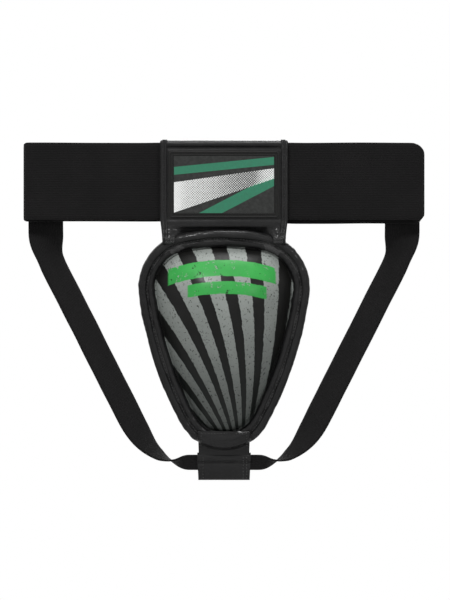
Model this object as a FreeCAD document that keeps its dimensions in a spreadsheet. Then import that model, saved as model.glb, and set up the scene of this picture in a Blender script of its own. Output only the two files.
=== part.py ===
import FreeCAD, Part
import math
import os
import Sketcher

# Groin protector, hanging upright with its waistband on top.
# X runs to the right of the front view, Y from the viewer to the wearer, Z up.
# The origin is the middle of the flattened waistband loop. Sizes are millimetres.

Vector = FreeCAD.Vector
doc = FreeCAD.newDocument("groin_protector")
sheet = doc.addObject("Spreadsheet::Sheet", "Sizes")

sizes = {
    # Waistband
    "band_width": 391,  # flattened loop, end to end
    "band_height": 75,  # elastic's width
    "elastic_thick": 2,  # waistband elastic
    "loop_gap": 10,  # between the front and the back layer
    "tuck": 12,  # elastic sewn into each side of the yoke

    # Yoke
    "yoke_width": 122.4,  # between the outer faces of the cover's open sides
    "yoke_height": 81.4,  # top fold to bottom fold
    "yoke_top": 40,  # above the middle of the band
    "yoke_foam": 6,  # padding inside the cover
    "leather": 1.4,  # cover leather
    "binding_width": 7.2,  # front leg of the side binding
    "binding_thick": 1.2,  # binding leather

    # Label
    "label_width": 107.7,  # rubber patch
    "label_height": 65.3,  # rubber patch
    "label_thick": 1,  # rubber patch
    "label_drop": 3.4,  # middle of the label below the middle of the band
    "panel_width": 97,  # printed panel
    "panel_height": 55.6,  # printed panel
    "panel_thick": 0.5,  # printed panel
    "frame_thick": 0.8,  # raised border
    "frame_margin": 0.8,  # patch left bare outside the border
    "frame_gap": 0.6,  # between the border and the panel
    "label_corner": 2,  # corner radius

    # The fold between the yoke and the cup
    "fold_gap": 0.3,  # running clearance at both folds
    "apron_thick": 2.4,  # two leathers sewn together
    "apron_width": 119,  # at the fold
    "apron_foot": 114,  # where it meets the rim
    "apron_reach": 16,  # down to inside the rim
    "cup_lean": 7.5,  # degrees that the cup hangs back from upright
    "tack_width": 9,  # bar tack
    "tack_height": 3,  # bar tack
    "tack_thick": 1.6,  # bar tack
    "tack_spread": 51,  # middle of a bar tack from the centre line
    "tack_drop": 6.4,  # middle of a bar tack below the fold

    # Rim of the cup, in the cup's own upright frame with the fold as its origin
    "rim_top": 3.9,  # rim's top edge below the fold
    "rim_height": 216.9,  # rim's top edge to its bottom edge
    "rim_breadth": 166.6,  # across the shoulders
    "rim_arch": 200,  # radius of the top of the outline
    "rim_shoulder": 54.2,  # radius of the outline's shoulders
    "rim_side": 387,  # radius of the outline's long sides
    "rim_foot": 47.6,  # radius of the outline's foot
    "rim_width": 16.6,  # rim's outer edge to its inner edge
    "roll_radius": 5,  # each of the two rolls on the front
    "rim_front": 10.5,  # front of the rolls from the fold's plane
    "rim_back": 9,  # back of the rim from the fold's plane
    "rim_edge": 4,  # radius of the back edges
    "cover_thick": 1.2,  # rim leather

    # Shell
    "shell_depth": 42.2,  # dome, from the back of its flange
    "shell_seat": 3.8,  # back of the flange in front of the fold's plane
    "shell_thick": 1.2,  # pressed steel
    "flange_grip": 4.4,  # flange held in the rim
    "flange_gap": 0.2,  # between the flange's edge and the foam
    "shell_gap": 0.4,  # between the rim's inner edge and the dome
    "shell_crown": 81,  # highest point of the dome below the fold
    "shell_flank": 1.54,  # steepness of the dome's flank
    "liner_thick": 2,  # lining inside the dome
    "backing_thick": 1.6,  # facing ring behind the rim
    "backing_inset": 22,  # inner edge of the facing ring

    # Bottom tab, keeper and crosspiece
    "tab_width": 50,  # tab over the bottom of the rim
    "tab_rise": 17.8,  # upper edge of the tab above the rim's lowest point
    "tab_wrap": 45,  # degrees that the tab turns over the inner roll
    "tab_leather": 1.4,  # one leaf of the tab
    "keeper_width": 52.6,  # leather tunnel
    "keeper_length": 28.3,  # tunnel below its fold
    "keeper_leather": 1.4,  # wall of the tunnel
    "keeper_neck": 4.2,  # fold to the middle of the tunnel's upper round
    "cross_height": 15,  # folded strap in the tunnel
    "cross_thick": 3.2,  # folded strap in the tunnel
    "cross_drop": 10.6,  # middle of the crosspiece below the tunnel's fold
    "cross_width": 111.4,  # between the two twists

    # Leg straps
    "strap_width": 34,  # leg strap elastic
    "strap_thick": 1.5,  # leg strap elastic
    "strap_inset": 4.2,  # strap's outer edge from the end of the band
    "strap_sewn": 40,  # overlap sewn behind the band
    "strap_end_drop": 0.5,  # sewn end below the band's lower edge
    "strap_turn": 46,  # degrees that the strap turns about its own length
    "strap_knee": 24.5,  # straight fall before the strap slants inwards
    "strap_foot": 14,  # level stretch that the lower bend takes up
    "twist_gap": 0.3,  # between a strap and the crosspiece
}

# Places that follow from the sizes above
places = {
    # middle of the front layer
    "front_mid": "=-(loop_gap + elastic_thick) / 2",
    # cup's fold
    "fold_level": "=yoke_top - yoke_height - fold_gap - apron_thick / 2",
    # middle of a strap's top from the centre line
    "strap_spread": "=band_width / 2 - strap_inset - strap_width / 2",
    # front face to back face
    "yoke_depth": "=yoke_foam + 2 * leather",
    # below the cup's fold
    "keeper_fold": "=rim_top + rim_height + 2 * tab_leather + fold_gap",
}

for row, (alias, cell) in enumerate([*sizes.items(), *places.items()], 1):
    sheet.set("A%d" % row, alias)
    sheet.set("B%d" % row, str(cell))
    sheet.setAlias("B%d" % row, alias)
doc.recompute()


def value(alias):
    """Read one size from the sheet."""
    return float(sheet.get(alias))


def plane_of(body, role):
    """One of the body's own origin planes."""
    return [item for item in body.Origin.OriginFeatures if item.Role == role][0]


def new_body(label):
    body = doc.addObject("PartDesign::Body", label)
    body.Label = label
    return body


def new_sketch(body, name, role):
    sketch = body.newObject("Sketcher::SketchObject", name)
    sketch.AttachmentSupport = (plane_of(body, role), [""])
    sketch.MapMode = "FlatFace"
    return sketch


def bind(item, sizes):
    """Bind properties to formulas over the sheet."""
    for path, formula in sizes.items():
        item.setExpression(path, formula)


def place(item, x="0", y="0", z="0"):
    bind(item, {".Placement.Base.x": x, ".Placement.Base.y": y, ".Placement.Base.z": z})


def place_in_cup(item, drop="0"):
    """Stand an item in the cup's frame, which leans back about the fold."""
    lean = "Sizes.cup_lean"
    item.Placement.Rotation = FreeCAD.Rotation(Vector(1, 0, 0), value("cup_lean"))
    bind(item, {
        ".Placement.Rotation.Angle": lean,
        ".Placement.Base.y": "Sizes.front_mid + (%s) * sin(%s * 1 deg)" % (drop, lean),
        ".Placement.Base.z": "Sizes.fold_level - (%s) * cos(%s * 1 deg)" % (drop, lean),
    })


def rectangle(sketch, width, height):
    """A rectangle about the sketch's origin."""
    w, h = sketch.evalExpression(width) / 2, sketch.evalExpression(height) / 2
    corners = [Vector(-w, -h, 0), Vector(w, -h, 0), Vector(w, h, 0), Vector(-w, h, 0)]
    first = sketch.GeometryCount
    for i in range(4):
        sketch.addGeometry(Part.LineSegment(corners[i], corners[(i + 1) % 4]), False)
    for i in range(4):
        sketch.addConstraint(
            Sketcher.Constraint("Coincident", first + i, 2, first + (i + 1) % 4, 1))
    for i in (0, 2):
        sketch.addConstraint(Sketcher.Constraint("Horizontal", first + i))
        sketch.addConstraint(Sketcher.Constraint("Vertical", first + i + 1))
    sketch.addConstraint(Sketcher.Constraint("Symmetric", first, 1, first + 2, 1, -1, 1))
    across = sketch.addConstraint(
        Sketcher.Constraint("DistanceX", first, 1, first, 2, 2 * w))
    upward = sketch.addConstraint(
        Sketcher.Constraint("DistanceY", first + 1, 1, first + 1, 2, 2 * h))
    bind(sketch, {"Constraints[%d]" % across: width, "Constraints[%d]" % upward: height})


def slot(sketch, span, radius, across=True):
    """A slot about the sketch's origin: two lines joined by half circles."""
    quarter = math.pi / 2
    turn = 0 if across else quarter
    spin = FreeCAD.Rotation(Vector(0, 0, 1), math.degrees(turn))
    reach, bend = sketch.evalExpression(span) / 2, sketch.evalExpression(radius)
    ends = [spin.multVec(Vector(reach, 0, 0)), spin.multVec(Vector(-reach, 0, 0))]
    start = turn - quarter
    for i in range(2):
        circle = Part.Circle(ends[i], Vector(0, 0, 1), bend)
        sweep = start + i * math.pi
        sketch.addGeometry(Part.ArcOfCircle(circle, sweep, sweep + math.pi), False)
    for i in range(2):
        side = spin.multVec(Vector(0, bend - 2 * bend * i, 0))
        run = [ends[i] + side, ends[1 - i] + side]
        sketch.addGeometry(Part.LineSegment(run[0], run[1]), False)
    sketch.addConstraint(Sketcher.Constraint("Tangent", 0, 2, 2, 1))
    sketch.addConstraint(Sketcher.Constraint("Tangent", 2, 2, 1, 1))
    sketch.addConstraint(Sketcher.Constraint("Tangent", 1, 2, 3, 1))
    sketch.addConstraint(Sketcher.Constraint("Tangent", 3, 2, 0, 1))
    sketch.addConstraint(Sketcher.Constraint("Symmetric", 0, 3, 1, 3, -1, 1))
    for line in (2, 3):
        way = "Horizontal" if across else "Vertical"
        sketch.addConstraint(Sketcher.Constraint(way, line))
    kind = "DistanceX" if across else "DistanceY"
    length = sketch.addConstraint(Sketcher.Constraint(kind, 1, 3, 0, 3, 2 * reach))
    round_end = sketch.addConstraint(Sketcher.Constraint("Radius", 0, bend))
    bind(sketch, {"Constraints[%d]" % length: span,
                  "Constraints[%d]" % round_end: radius})


def pad(body, sketch, length, both=False):
    feature = body.newObject("PartDesign::Pad", sketch.Name + "Pad")
    feature.Profile = sketch
    if both:
        feature.SideType = "Symmetric"
    feature.setExpression("Length", length)
    doc.recompute()
    return feature


def pocket(body, sketch, length):
    """Cut to both sides of the sketch, and make sure that material went."""
    before = body.Shape.Volume
    feature = body.newObject("PartDesign::Pocket", sketch.Name + "Pocket")
    feature.Profile = sketch
    feature.SideType = "Symmetric"
    feature.setExpression("Length", length)
    doc.recompute()
    if not feature.Shape.Volume < before:
        raise RuntimeError(sketch.Name + " cuts nothing")
    return feature


def round_edges(body, feature, direction, radius):
    """Round the straight edges that run along one direction."""
    names = []
    for number, edge in enumerate(feature.Shape.Edges, 1):
        if edge.Curve.TypeId != "Part::GeomLine":
            continue
        if edge.Curve.Direction.cross(direction).Length < 1e-6:
            names.append("Edge%d" % number)
    rounding = body.newObject("PartDesign::Fillet", body.Label + "Round")
    rounding.Base = (feature, names)
    rounding.setExpression("Radius", radius)
    doc.recompute()
    return rounding


def code_shape(label, shape):
    """A solid worked out from the sheet's sizes."""
    item = doc.addObject("Part::Feature", label)
    item.Label = label
    item.Shape = shape
    return item


# Waistband: one strip of elastic bent into a flat loop. Its two ends stop inside the
# yoke, so the front layer is open across the middle.
def make_waistband():
    body = new_body("waistband")
    outer = new_sketch(body, "BandOuter", "XY_Plane")
    slot(outer, "Sizes.band_width - Sizes.loop_gap - 2 * Sizes.elastic_thick",
         "Sizes.loop_gap / 2 + Sizes.elastic_thick")
    pad(body, outer, "Sizes.band_height", both=True)
    inner = new_sketch(body, "BandInner", "XY_Plane")
    slot(inner, "Sizes.band_width - Sizes.loop_gap - 2 * Sizes.elastic_thick",
         "Sizes.loop_gap / 2")
    pocket(body, inner, "2 * Sizes.band_height")
    gap = new_sketch(body, "BandGap", "XY_Plane")
    rectangle(gap, "Sizes.yoke_width - 2 * Sizes.tuck", "2 * Sizes.elastic_thick")
    gap.setExpression(".AttachmentOffset.Base.y", "Sizes.front_mid")
    pocket(body, gap, "2 * Sizes.band_height")
    return body


# Yoke cover: leather closed at the top and the bottom, open at both sides.
def make_yoke_cover():
    body = new_body("yoke_cover")
    outer = new_sketch(body, "CoverOuter", "YZ_Plane")
    rectangle(outer, "Sizes.yoke_depth", "Sizes.yoke_height")
    sleeve = pad(body, outer, "Sizes.yoke_width", both=True)
    round_edges(body, sleeve, Vector(1, 0, 0), "2 * Sizes.leather")
    inner = new_sketch(body, "CoverInner", "YZ_Plane")
    rectangle(inner, "Sizes.yoke_foam", "Sizes.yoke_height - 2 * Sizes.leather")
    pocket(body, inner, "2 * Sizes.yoke_width")
    place(body, y="Sizes.front_mid", z="Sizes.yoke_top - Sizes.yoke_height / 2")
    return body


# Yoke foam: fills the cover and grips the elastic's ends in a slot on each side.
def make_yoke_foam():
    body = new_body("yoke_foam")
    block = new_sketch(body, "FoamBlock", "YZ_Plane")
    rectangle(block, "Sizes.yoke_foam", "Sizes.yoke_height - 2 * Sizes.leather")
    pad(body, block, "Sizes.yoke_width", both=True)
    for side in (-1, 1):
        cut = new_sketch(body, "FoamSlot", "XY_Plane")
        rectangle(cut, "2 * Sizes.tuck", "Sizes.elastic_thick")
        bind(cut, {
            ".AttachmentOffset.Base.x": "%d * Sizes.yoke_width / 2" % side,
            ".AttachmentOffset.Base.z": "Sizes.yoke_height / 2 - Sizes.yoke_top",
        })
        pocket(body, cut, "Sizes.band_height")
    place(body, y="Sizes.front_mid", z="Sizes.yoke_top - Sizes.yoke_height / 2")
    return body


# Side binding: a leather strip folded over the yoke's open side, slit for the elastic.
def make_binding(label, side):
    body = new_body(label)
    outer = new_sketch(body, label + "_outer", "XY_Plane")
    rectangle(outer, "Sizes.binding_width", "Sizes.yoke_depth + 2 * Sizes.binding_thick")
    strip = pad(body, outer, "Sizes.yoke_height", both=True)
    round_edges(body, strip, Vector(0, 0, 1), "Sizes.binding_thick / 2")
    inner = new_sketch(body, label + "_inner", "XY_Plane")
    rectangle(inner, "Sizes.binding_width", "Sizes.yoke_depth")
    inner.setExpression(".AttachmentOffset.Base.x", "%d * Sizes.binding_thick" % -side)
    pocket(body, inner, "2 * Sizes.yoke_height")
    slit = new_sketch(body, label + "_slit", "XY_Plane")
    rectangle(slit, "2 * Sizes.binding_width", "Sizes.elastic_thick")
    slit.setExpression(
        ".AttachmentOffset.Base.z", "Sizes.yoke_height / 2 - Sizes.yoke_top")
    pocket(body, slit, "Sizes.band_height")
    reach = "(Sizes.yoke_width - Sizes.binding_width) / 2 + Sizes.binding_thick"
    place(body, x="%d * (%s)" % (side, reach), y="Sizes.front_mid",
          z="Sizes.yoke_top - Sizes.yoke_height / 2")
    return body


# Label: a rubber patch, a raised border on it and a printed panel inside the border.
def make_label():
    face = "Sizes.front_mid - Sizes.yoke_depth / 2"
    patch = new_body("label_base")
    outline = new_sketch(patch, "Patch", "XZ_Plane")
    rectangle(outline, "Sizes.label_width", "Sizes.label_height")
    plate = pad(patch, outline, "Sizes.label_thick")
    round_edges(patch, plate, Vector(0, 1, 0), "Sizes.label_corner")
    place(patch, y=face, z="-Sizes.label_drop")

    border = new_body("label_frame")
    outline = new_sketch(border, "Border", "XZ_Plane")
    rectangle(outline, "Sizes.label_width - 2 * Sizes.frame_margin",
              "Sizes.label_height - 2 * Sizes.frame_margin")
    plate = pad(border, outline, "Sizes.frame_thick")
    round_edges(border, plate, Vector(0, 1, 0), "Sizes.label_corner")
    window = new_sketch(border, "Window", "XZ_Plane")
    rectangle(window, "Sizes.panel_width + 2 * Sizes.frame_gap",
              "Sizes.panel_height + 2 * Sizes.frame_gap")
    pocket(border, window, "4 * Sizes.frame_thick")
    place(border, y=face + " - Sizes.label_thick", z="-Sizes.label_drop")

    panel = new_body("label_inlay")
    outline = new_sketch(panel, "Panel", "XZ_Plane")
    rectangle(outline, "Sizes.panel_width", "Sizes.panel_height")
    pad(panel, outline, "Sizes.panel_thick")
    place(panel, y=face + " - Sizes.label_thick", z="-Sizes.label_drop")
    return [patch, border, panel]


# Strap end: the top of a leg strap, sewn flat to the outer face of the back layer.
def make_strap_end(label, side):
    end = doc.addObject("Part::Box", label)
    end.Label = label
    bind(end, {"Length": "Sizes.strap_width", "Width": "Sizes.strap_thick",
               "Height": "Sizes.strap_sewn"})
    place(end, x="%d * Sizes.strap_spread - Sizes.strap_width / 2" % side,
          y="Sizes.loop_gap / 2 + Sizes.elastic_thick",
          z="-Sizes.band_height / 2 - Sizes.strap_end_drop")
    return end


# Outline of the rim in the cup's frame: arcs that touch each other. Angles turn from
# straight up to the right.
def outline_point(centre, radius, angle):
    turn = math.radians(angle)
    return centre + Vector(math.sin(turn), 0, math.cos(turn)) * radius


def angle_of(way):
    return math.degrees(math.atan2(way.x, way.z))


def outline_arcs():
    """Centre, radius, first and last angle of each arc of the rim's outer edge."""
    arch, shoulder = value("rim_arch"), value("rim_shoulder")
    side, foot = value("rim_side"), value("rim_foot")
    bend = math.degrees(math.asin((value("rim_breadth") / 2 - shoulder) / (arch - shoulder)))
    top_centre = Vector(0, 0, -value("rim_top") - arch)
    right = outline_point(top_centre, arch - shoulder, bend)
    bottom = Vector(0, 0, foot - value("rim_top") - value("rim_height"))
    line = bottom - right
    along = ((side - shoulder) ** 2 - (side - foot) ** 2) / (2 * line.Length)
    along += line.Length / 2
    away = math.sqrt((side - shoulder) ** 2 - along ** 2)
    line.normalize()
    far = right + line * along + Vector(line.z, 0, -line.x) * away
    turn, end = angle_of(right - far), angle_of(bottom - far)
    arcs = [(top_centre, arch, -bend, bend), (right, shoulder, bend, turn),
            (far, side, turn, end), (bottom, foot, end, 360 - end)]
    for centre, radius, first, last in (arcs[2], arcs[1]):
        mirrored = Vector(-centre.x, 0, centre.z)
        arcs.append((mirrored, radius, 360 - last, 360 - first))
    return arcs


def rim_outline(inset, middle=Vector(0, 0, 0), shrink=1, y=0):
    """The outline inside the rim's outer edge, shrunk towards a middle."""
    edges = []
    for centre, radius, first, last in outline_arcs():
        points = []
        for angle in (first, (first + last) / 2, last):
            point = outline_point(centre, radius - inset, angle)
            points.append(middle + (point - middle) * shrink + Vector(0, y, 0))
        edges.append(Part.Arc(*points).toShape())
    return Part.Wire(edges)


# Section of the rim. Depth counts inwards from the outer edge. Angles turn from
# straight forwards to inwards.
def at(depth, y):
    return Vector(0, y, -depth)


def section_arc(depth, y, radius, first, last):
    points = []
    for turn in (first, (first + last) / 2, last):
        angle = math.radians(turn)
        points.append(at(depth + radius * math.sin(angle), y - radius * math.cos(angle)))
    return Part.Arc(*points)


def roll_arc(inner, skin, first, last):
    """Arc of a front roll. None stands for the groove between the two rolls."""
    radius = value("roll_radius")
    depth = value("rim_width") - radius if inner else radius
    groove = math.degrees(math.asin((value("rim_width") / 2 - radius) / (radius - skin)))
    first = (-groove if inner else groove) if first is None else first
    last = (-groove if inner else groove) if last is None else last
    return section_arc(depth, radius - value("rim_front"), radius - skin, first, last)


def back_arc(inner, skin, first, last):
    """Arc of a round edge at the back."""
    edge = value("rim_edge")
    depth = value("rim_width") - edge if inner else edge
    return section_arc(depth, value("rim_back") - edge, edge - skin, first, last)


def section_face(items):
    """Join arcs and points into a closed section."""
    edges, ends = [], []
    for item in items:
        if isinstance(item, Part.Arc):
            curve = item.toShape()
            edges.append(curve)
            ends.append((curve.firstVertex().Point, curve.lastVertex().Point))
        else:
            edges.append(None)
            ends.append((item, item))
    path = []
    for i, edge in enumerate(edges):
        if edge is not None:
            path.append(edge)
        start, end = ends[i][1], ends[(i + 1) % len(ends)][0]
        if (end - start).Length > 0.001:
            path.append(Part.LineSegment(start, end).toShape())
    return Part.Face(Part.Wire(path))


def round_the_rim(items, arcs=None):
    """Carry a section round the outline, one turn for each arc."""
    face, axis = section_face(items), Vector(0, 1, 0)
    turns = []
    for centre, radius, first, last in arcs or outline_arcs():
        start = face.copy()
        start.Placement = FreeCAD.Placement(
            outline_point(centre, radius, first), FreeCAD.Rotation(axis, first))
        turns.append(start.revolve(centre, axis, last - first))
    if len(turns) == 1:
        return turns[0]
    return turns[0].multiFuse(turns[1:]).removeSplitter()


# Rim cover: leather round the foam, open at the inner side where the shell's flange
# enters. A stitched groove parts its front into two rolls.
def make_rim_cover():
    skin, width = value("cover_thick"), value("rim_width")
    back = -value("shell_seat")
    front = back - value("shell_thick")
    return round_the_rim([
        at(width, front),
        roll_arc(True, 0, 90, None),
        roll_arc(False, 0, None, -90),
        back_arc(False, 0, -90, -180),
        back_arc(True, 0, 180, 90),
        at(width, back),
        at(width - skin, back),
        back_arc(True, skin, 90, 180),
        back_arc(False, skin, -180, -90),
        roll_arc(False, skin, -90, None),
        roll_arc(True, skin, None, 90),
        at(width - skin, front),
    ])


# Rim core: foam that fills the cover, slit for the shell's flange.
def make_rim_core():
    skin, width = value("cover_thick"), value("rim_width")
    back = -value("shell_seat")
    front = back - value("shell_thick")
    slit = width - value("flange_grip")
    return round_the_rim([
        roll_arc(True, skin, 90, None),
        roll_arc(False, skin, None, -90),
        back_arc(False, skin, -90, -180),
        back_arc(True, skin, 180, 90),
        at(width - skin, back),
        at(slit, back),
        at(slit, front),
        at(width - skin, front),
    ])


def rim_plate(inset, y, thick):
    """The area within an inset of the rim's outline, as a plate."""
    face = Part.Face(rim_outline(inset))
    face.translate(Vector(0, y, 0))
    return face.extrude(Vector(0, thick, 0))


# Dome: sections that shrink towards the crown while they rise, closed by a small cap.
def dome(lining, stations=8):
    crown = Vector(0, 0, -value("shell_crown"))
    inset = value("rim_width") + value("shell_gap") + lining
    depth = value("shell_depth") - lining
    wires = []
    for i in range(stations + 1):
        angle = math.pi / 2 * 0.965 * i / stations
        rise = depth * math.sin(angle) ** value("shell_flank")
        y = -value("shell_seat") - rise
        wires.append(rim_outline(inset, crown, math.cos(angle), y))
    return Part.makeLoft(wires, True, False)


# Cup: steel shell with its flange in a foam rim that is covered with leather, a lining
# inside the dome and a facing ring behind the rim.
def make_cup():
    thick = value("shell_thick")
    grip = value("rim_width") - value("flange_grip") + value("flange_gap")
    inside = dome(thick)
    flange = rim_plate(grip, -value("shell_seat"), -thick)
    facing = rim_plate(value("rim_edge"), value("rim_back"), value("backing_thick"))
    window = rim_plate(value("backing_inset"), value("rim_back"), value("backing_thick"))
    pieces = [
        code_shape("cup_shell", dome(0).fuse(flange).cut(inside)),
        code_shape("shell_liner", inside.cut(dome(thick + value("liner_thick")))),
        code_shape("rim_core", make_rim_core()),
        code_shape("rim_cover", make_rim_cover()),
        code_shape("back_lining", facing.cut(window)),
    ]
    for piece in pieces:
        place_in_cup(piece)
    return pieces


# Apron: leather that folds under the yoke and runs into the top of the rim.
def make_apron():
    thick = value("apron_thick")
    top, foot = value("apron_width") / 2, value("apron_foot") / 2
    low = -value("apron_reach")
    corners = [Vector(-top, -thick / 2, 0), Vector(top, -thick / 2, 0),
               Vector(foot, -thick / 2, low), Vector(-foot, -thick / 2, low)]
    panel = Part.Face(Part.makePolygon(corners + corners[:1]))
    panel = panel.extrude(Vector(0, thick, 0))
    bead = Part.makeCylinder(thick / 2, 2 * top, Vector(-top, 0, 0), Vector(1, 0, 0))
    rim = rim_plate(0, -thick, 2 * thick)
    apron = code_shape("apron", panel.fuse(bead).cut(rim).removeSplitter())
    place_in_cup(apron)
    return apron


# Bar tack: a short block of thread that locks a corner of the fold.
def make_tack(label, side):
    body = new_body(label)
    outline = new_sketch(body, label + "_outline", "XZ_Plane")
    slot(outline, "Sizes.tack_width - Sizes.tack_height", "Sizes.tack_height / 2")
    pad(body, outline, "Sizes.tack_thick")
    lean = "Sizes.cup_lean * 1 deg"
    place_in_cup(body, "Sizes.tack_drop")
    bind(body, {
        ".Placement.Base.x": "%d * Sizes.tack_spread" % side,
        ".Placement.Base.y": "Sizes.front_mid + Sizes.tack_drop * sin(%s)"
                             " - Sizes.apron_thick / 2 * cos(%s)" % (lean, lean),
        ".Placement.Base.z": "Sizes.fold_level - Sizes.tack_drop * cos(%s)"
                             " - Sizes.apron_thick / 2 * sin(%s)" % (lean, lean),
    })
    return body


# Tab leaves: a leather skin that hugs the rim's foot, one leaf in front and one
# behind, each with a flat web that runs down to the keeper's fold.
def tab_leaf(label, side, skin):
    leaf, half = value("tab_leather"), value("tab_width") / 2
    end = leaf + value("fold_gap") - value("keeper_fold")
    deep = value("rim_front") + value("rim_back")
    top = value("tab_rise") - value("rim_top") - value("rim_height")
    hug = skin.common(Part.makeBox(2 * half, 2 * deep, top - end,
                                   Vector(-half, -deep, end)))
    web = Part.makeBox(2 * half, leaf, top - end, Vector(-half, min(0, side * leaf), end))
    web = web.cut(rim_plate(0, -deep, 2 * deep))
    piece = code_shape(label, hug.fuse(web).removeSplitter())
    place_in_cup(piece)
    return piece


def make_tabs():
    leaf, wrap = value("tab_leather"), value("tab_wrap")
    foot = outline_arcs()[3:4]
    front = round_the_rim([
        at(0, 0),
        roll_arc(False, 0, -90, None),
        roll_arc(True, 0, None, wrap),
        roll_arc(True, -leaf, wrap, None),
        roll_arc(False, -leaf, None, -90),
        at(-leaf, 0),
    ], foot)
    back = round_the_rim([
        at(0, 0),
        back_arc(False, 0, -90, -180),
        back_arc(False, -leaf, -180, -90),
        at(-leaf, 0),
    ], foot)
    return [tab_leaf("tab_front", -1, front), tab_leaf("tab_back", 1, back)]


# Keeper: a leather tunnel below the tab. It closes round the crosspiece.
def make_keeper():
    body = new_body("keeper")
    span = "Sizes.keeper_length - Sizes.keeper_neck - Sizes.cross_thick / 2" \
           " - Sizes.keeper_leather"
    middle = "-(Sizes.keeper_neck + (%s) / 2)" % span
    outer = new_sketch(body, "TunnelOuter", "YZ_Plane")
    slot(outer, span, "Sizes.cross_thick / 2 + Sizes.keeper_leather", across=False)
    outer.setExpression(".AttachmentOffset.Base.y", middle)
    pad(body, outer, "Sizes.keeper_width", both=True)
    neck = new_sketch(body, "Neck", "YZ_Plane")
    slot(neck, "Sizes.keeper_neck", "Sizes.keeper_leather", across=False)
    neck.setExpression(".AttachmentOffset.Base.y", "-Sizes.keeper_neck / 2")
    pad(body, neck, "Sizes.keeper_width", both=True)
    inner = new_sketch(body, "TunnelInner", "YZ_Plane")
    slot(inner, span, "Sizes.cross_thick / 2", across=False)
    inner.setExpression(".AttachmentOffset.Base.y", middle)
    pocket(body, inner, "2 * Sizes.keeper_width")
    place_in_cup(body, "Sizes.keeper_fold")
    return body


# Crosspiece: the strap, folded double, that runs through the keeper.
def make_crosspiece():
    body = new_body("crosspiece")
    section = new_sketch(body, "CrossSection", "YZ_Plane")
    rectangle(section, "Sizes.cross_thick", "Sizes.cross_height")
    strip = pad(body, section, "Sizes.cross_width", both=True)
    round_edges(body, strip, Vector(1, 0, 0), "Sizes.cross_thick / 4")
    place_in_cup(body, "Sizes.keeper_fold + Sizes.cross_drop")
    return body


# Route of the right-hand leg strap: down, in along a slant, and level into the twist.
# Straight runs are joined by arcs that touch them.
def strap_route():
    lean = math.radians(value("cup_lean"))
    drop = value("keeper_fold") + value("cross_drop")
    back = value("loop_gap") / 2 + value("elastic_thick") + value("strap_thick") / 2
    top = Vector(value("strap_spread"), back, value("fold_level"))
    foot = Vector(value("cross_width") / 2 + value("twist_gap"),
                  value("front_mid") + drop * math.sin(lean),
                  value("fold_level") - drop * math.cos(lean))
    corner = foot + Vector(value("strap_foot"), 0, 0)
    share = value("strap_knee") / (top.z - foot.z)
    knee = Vector(top.x, top.y + (foot.y - top.y) * share, top.z - value("strap_knee"))
    edges, start = [], top
    for point, after, leg in ((knee, corner, 0.8 * value("strap_knee")),
                              (corner, foot, value("strap_foot"))):
        ahead = (after - point).normalize()
        behind = (start - point).normalize()
        entry, leave = point + behind * leg, point + ahead * leg
        halfway = (ahead + behind).normalize()
        half_turn = (math.pi - ahead.getAngle(behind)) / 2
        radius = leg / math.tan(half_turn)
        inside = radius / math.cos(half_turn) - radius
        if (entry - start).Length > 0.01:
            edges.append(Part.LineSegment(start, entry).toShape())
        edges.append(Part.Arc(entry, point + halfway * inside, leave).toShape())
        start = leave
    return edges


# Leg strap: elastic that hangs flat at the top, turns about its own length on the way
# down and is gathered to the crosspiece's section where it twists.
def strap_shape(stations=18):
    edges = strap_route()
    total = sum(edge.Length for edge in edges)
    wires = []
    for i in range(stations + 1):
        share = i / stations
        left, number = share * total, 0
        while number < len(edges) - 1 and left > edges[number].Length:
            left -= edges[number].Length
            number += 1
        at = edges[number].getParameterByLength(min(left, edges[number].Length))
        centre, along = edges[number].valueAt(at), edges[number].tangentAt(at)
        if i == 0:
            along = Vector(0, 0, -1)
        gather = min(1, max(0, (share - 0.72) / 0.28))
        gather = gather * gather * (3 - 2 * gather)
        turned = min(1, share / 0.15)
        turned = turned * turned * (3 - 2 * turned) * (1 - gather)
        wide = value("strap_width") * (1 - gather) + value("cross_height") * gather
        thick = value("strap_thick") * (1 - gather) + value("cross_thick") * gather
        flat = Vector(0, 1, 0).cross(along).normalize()
        face = along.cross(flat).normalize()
        turn = FreeCAD.Rotation(along, value("strap_turn") * turned)
        flat, face = turn.multVec(flat), turn.multVec(face)
        corners = [centre + flat * (wide / 2 * a) + face * (thick / 2 * b)
                   for a, b in ((-1, -1), (1, -1), (1, 1), (-1, 1))]
        wires.append(Part.makePolygon(corners + corners[:1]))
    return Part.makeLoft(wires, True, False)


def make_leg_straps():
    right = strap_shape()
    left = right.mirror(Vector(0, 0, 0), Vector(1, 0, 0))
    return [code_shape("leg_strap_left", left), code_shape("leg_strap_right", right)]


nodes = [make_waistband(), make_yoke_cover(), make_yoke_foam()]
nodes += [make_binding("binding_left", -1), make_binding("binding_right", 1)]
nodes += make_label()
nodes += [make_strap_end("strap_end_left", -1), make_strap_end("strap_end_right", 1)]
nodes += make_cup()
nodes += [make_apron()]
nodes += [make_tack("bar_tack_left", -1), make_tack("bar_tack_right", 1)]
nodes += make_tabs()
nodes += [make_keeper(), make_crosspiece()]
nodes += make_leg_straps()

doc.recompute()
for item in doc.Objects:
    if "Invalid" in item.State or "Error" in item.State:
        raise RuntimeError(item.Label + " failed to build")
for node in nodes:
    if node.Shape.isNull() or not node.Shape.isValid():
        raise RuntimeError(node.Label + " has no sound shape")

os.makedirs("parts", exist_ok=True)
for node in nodes:
    node.Shape.exportStep("parts/%s.step" % node.Label)
    print(node.Label, len(node.Shape.Solids), round(node.Shape.Volume, 1))
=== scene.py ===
import math

import bmesh
import bpy
from mathutils import Matrix, Vector, noise


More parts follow.
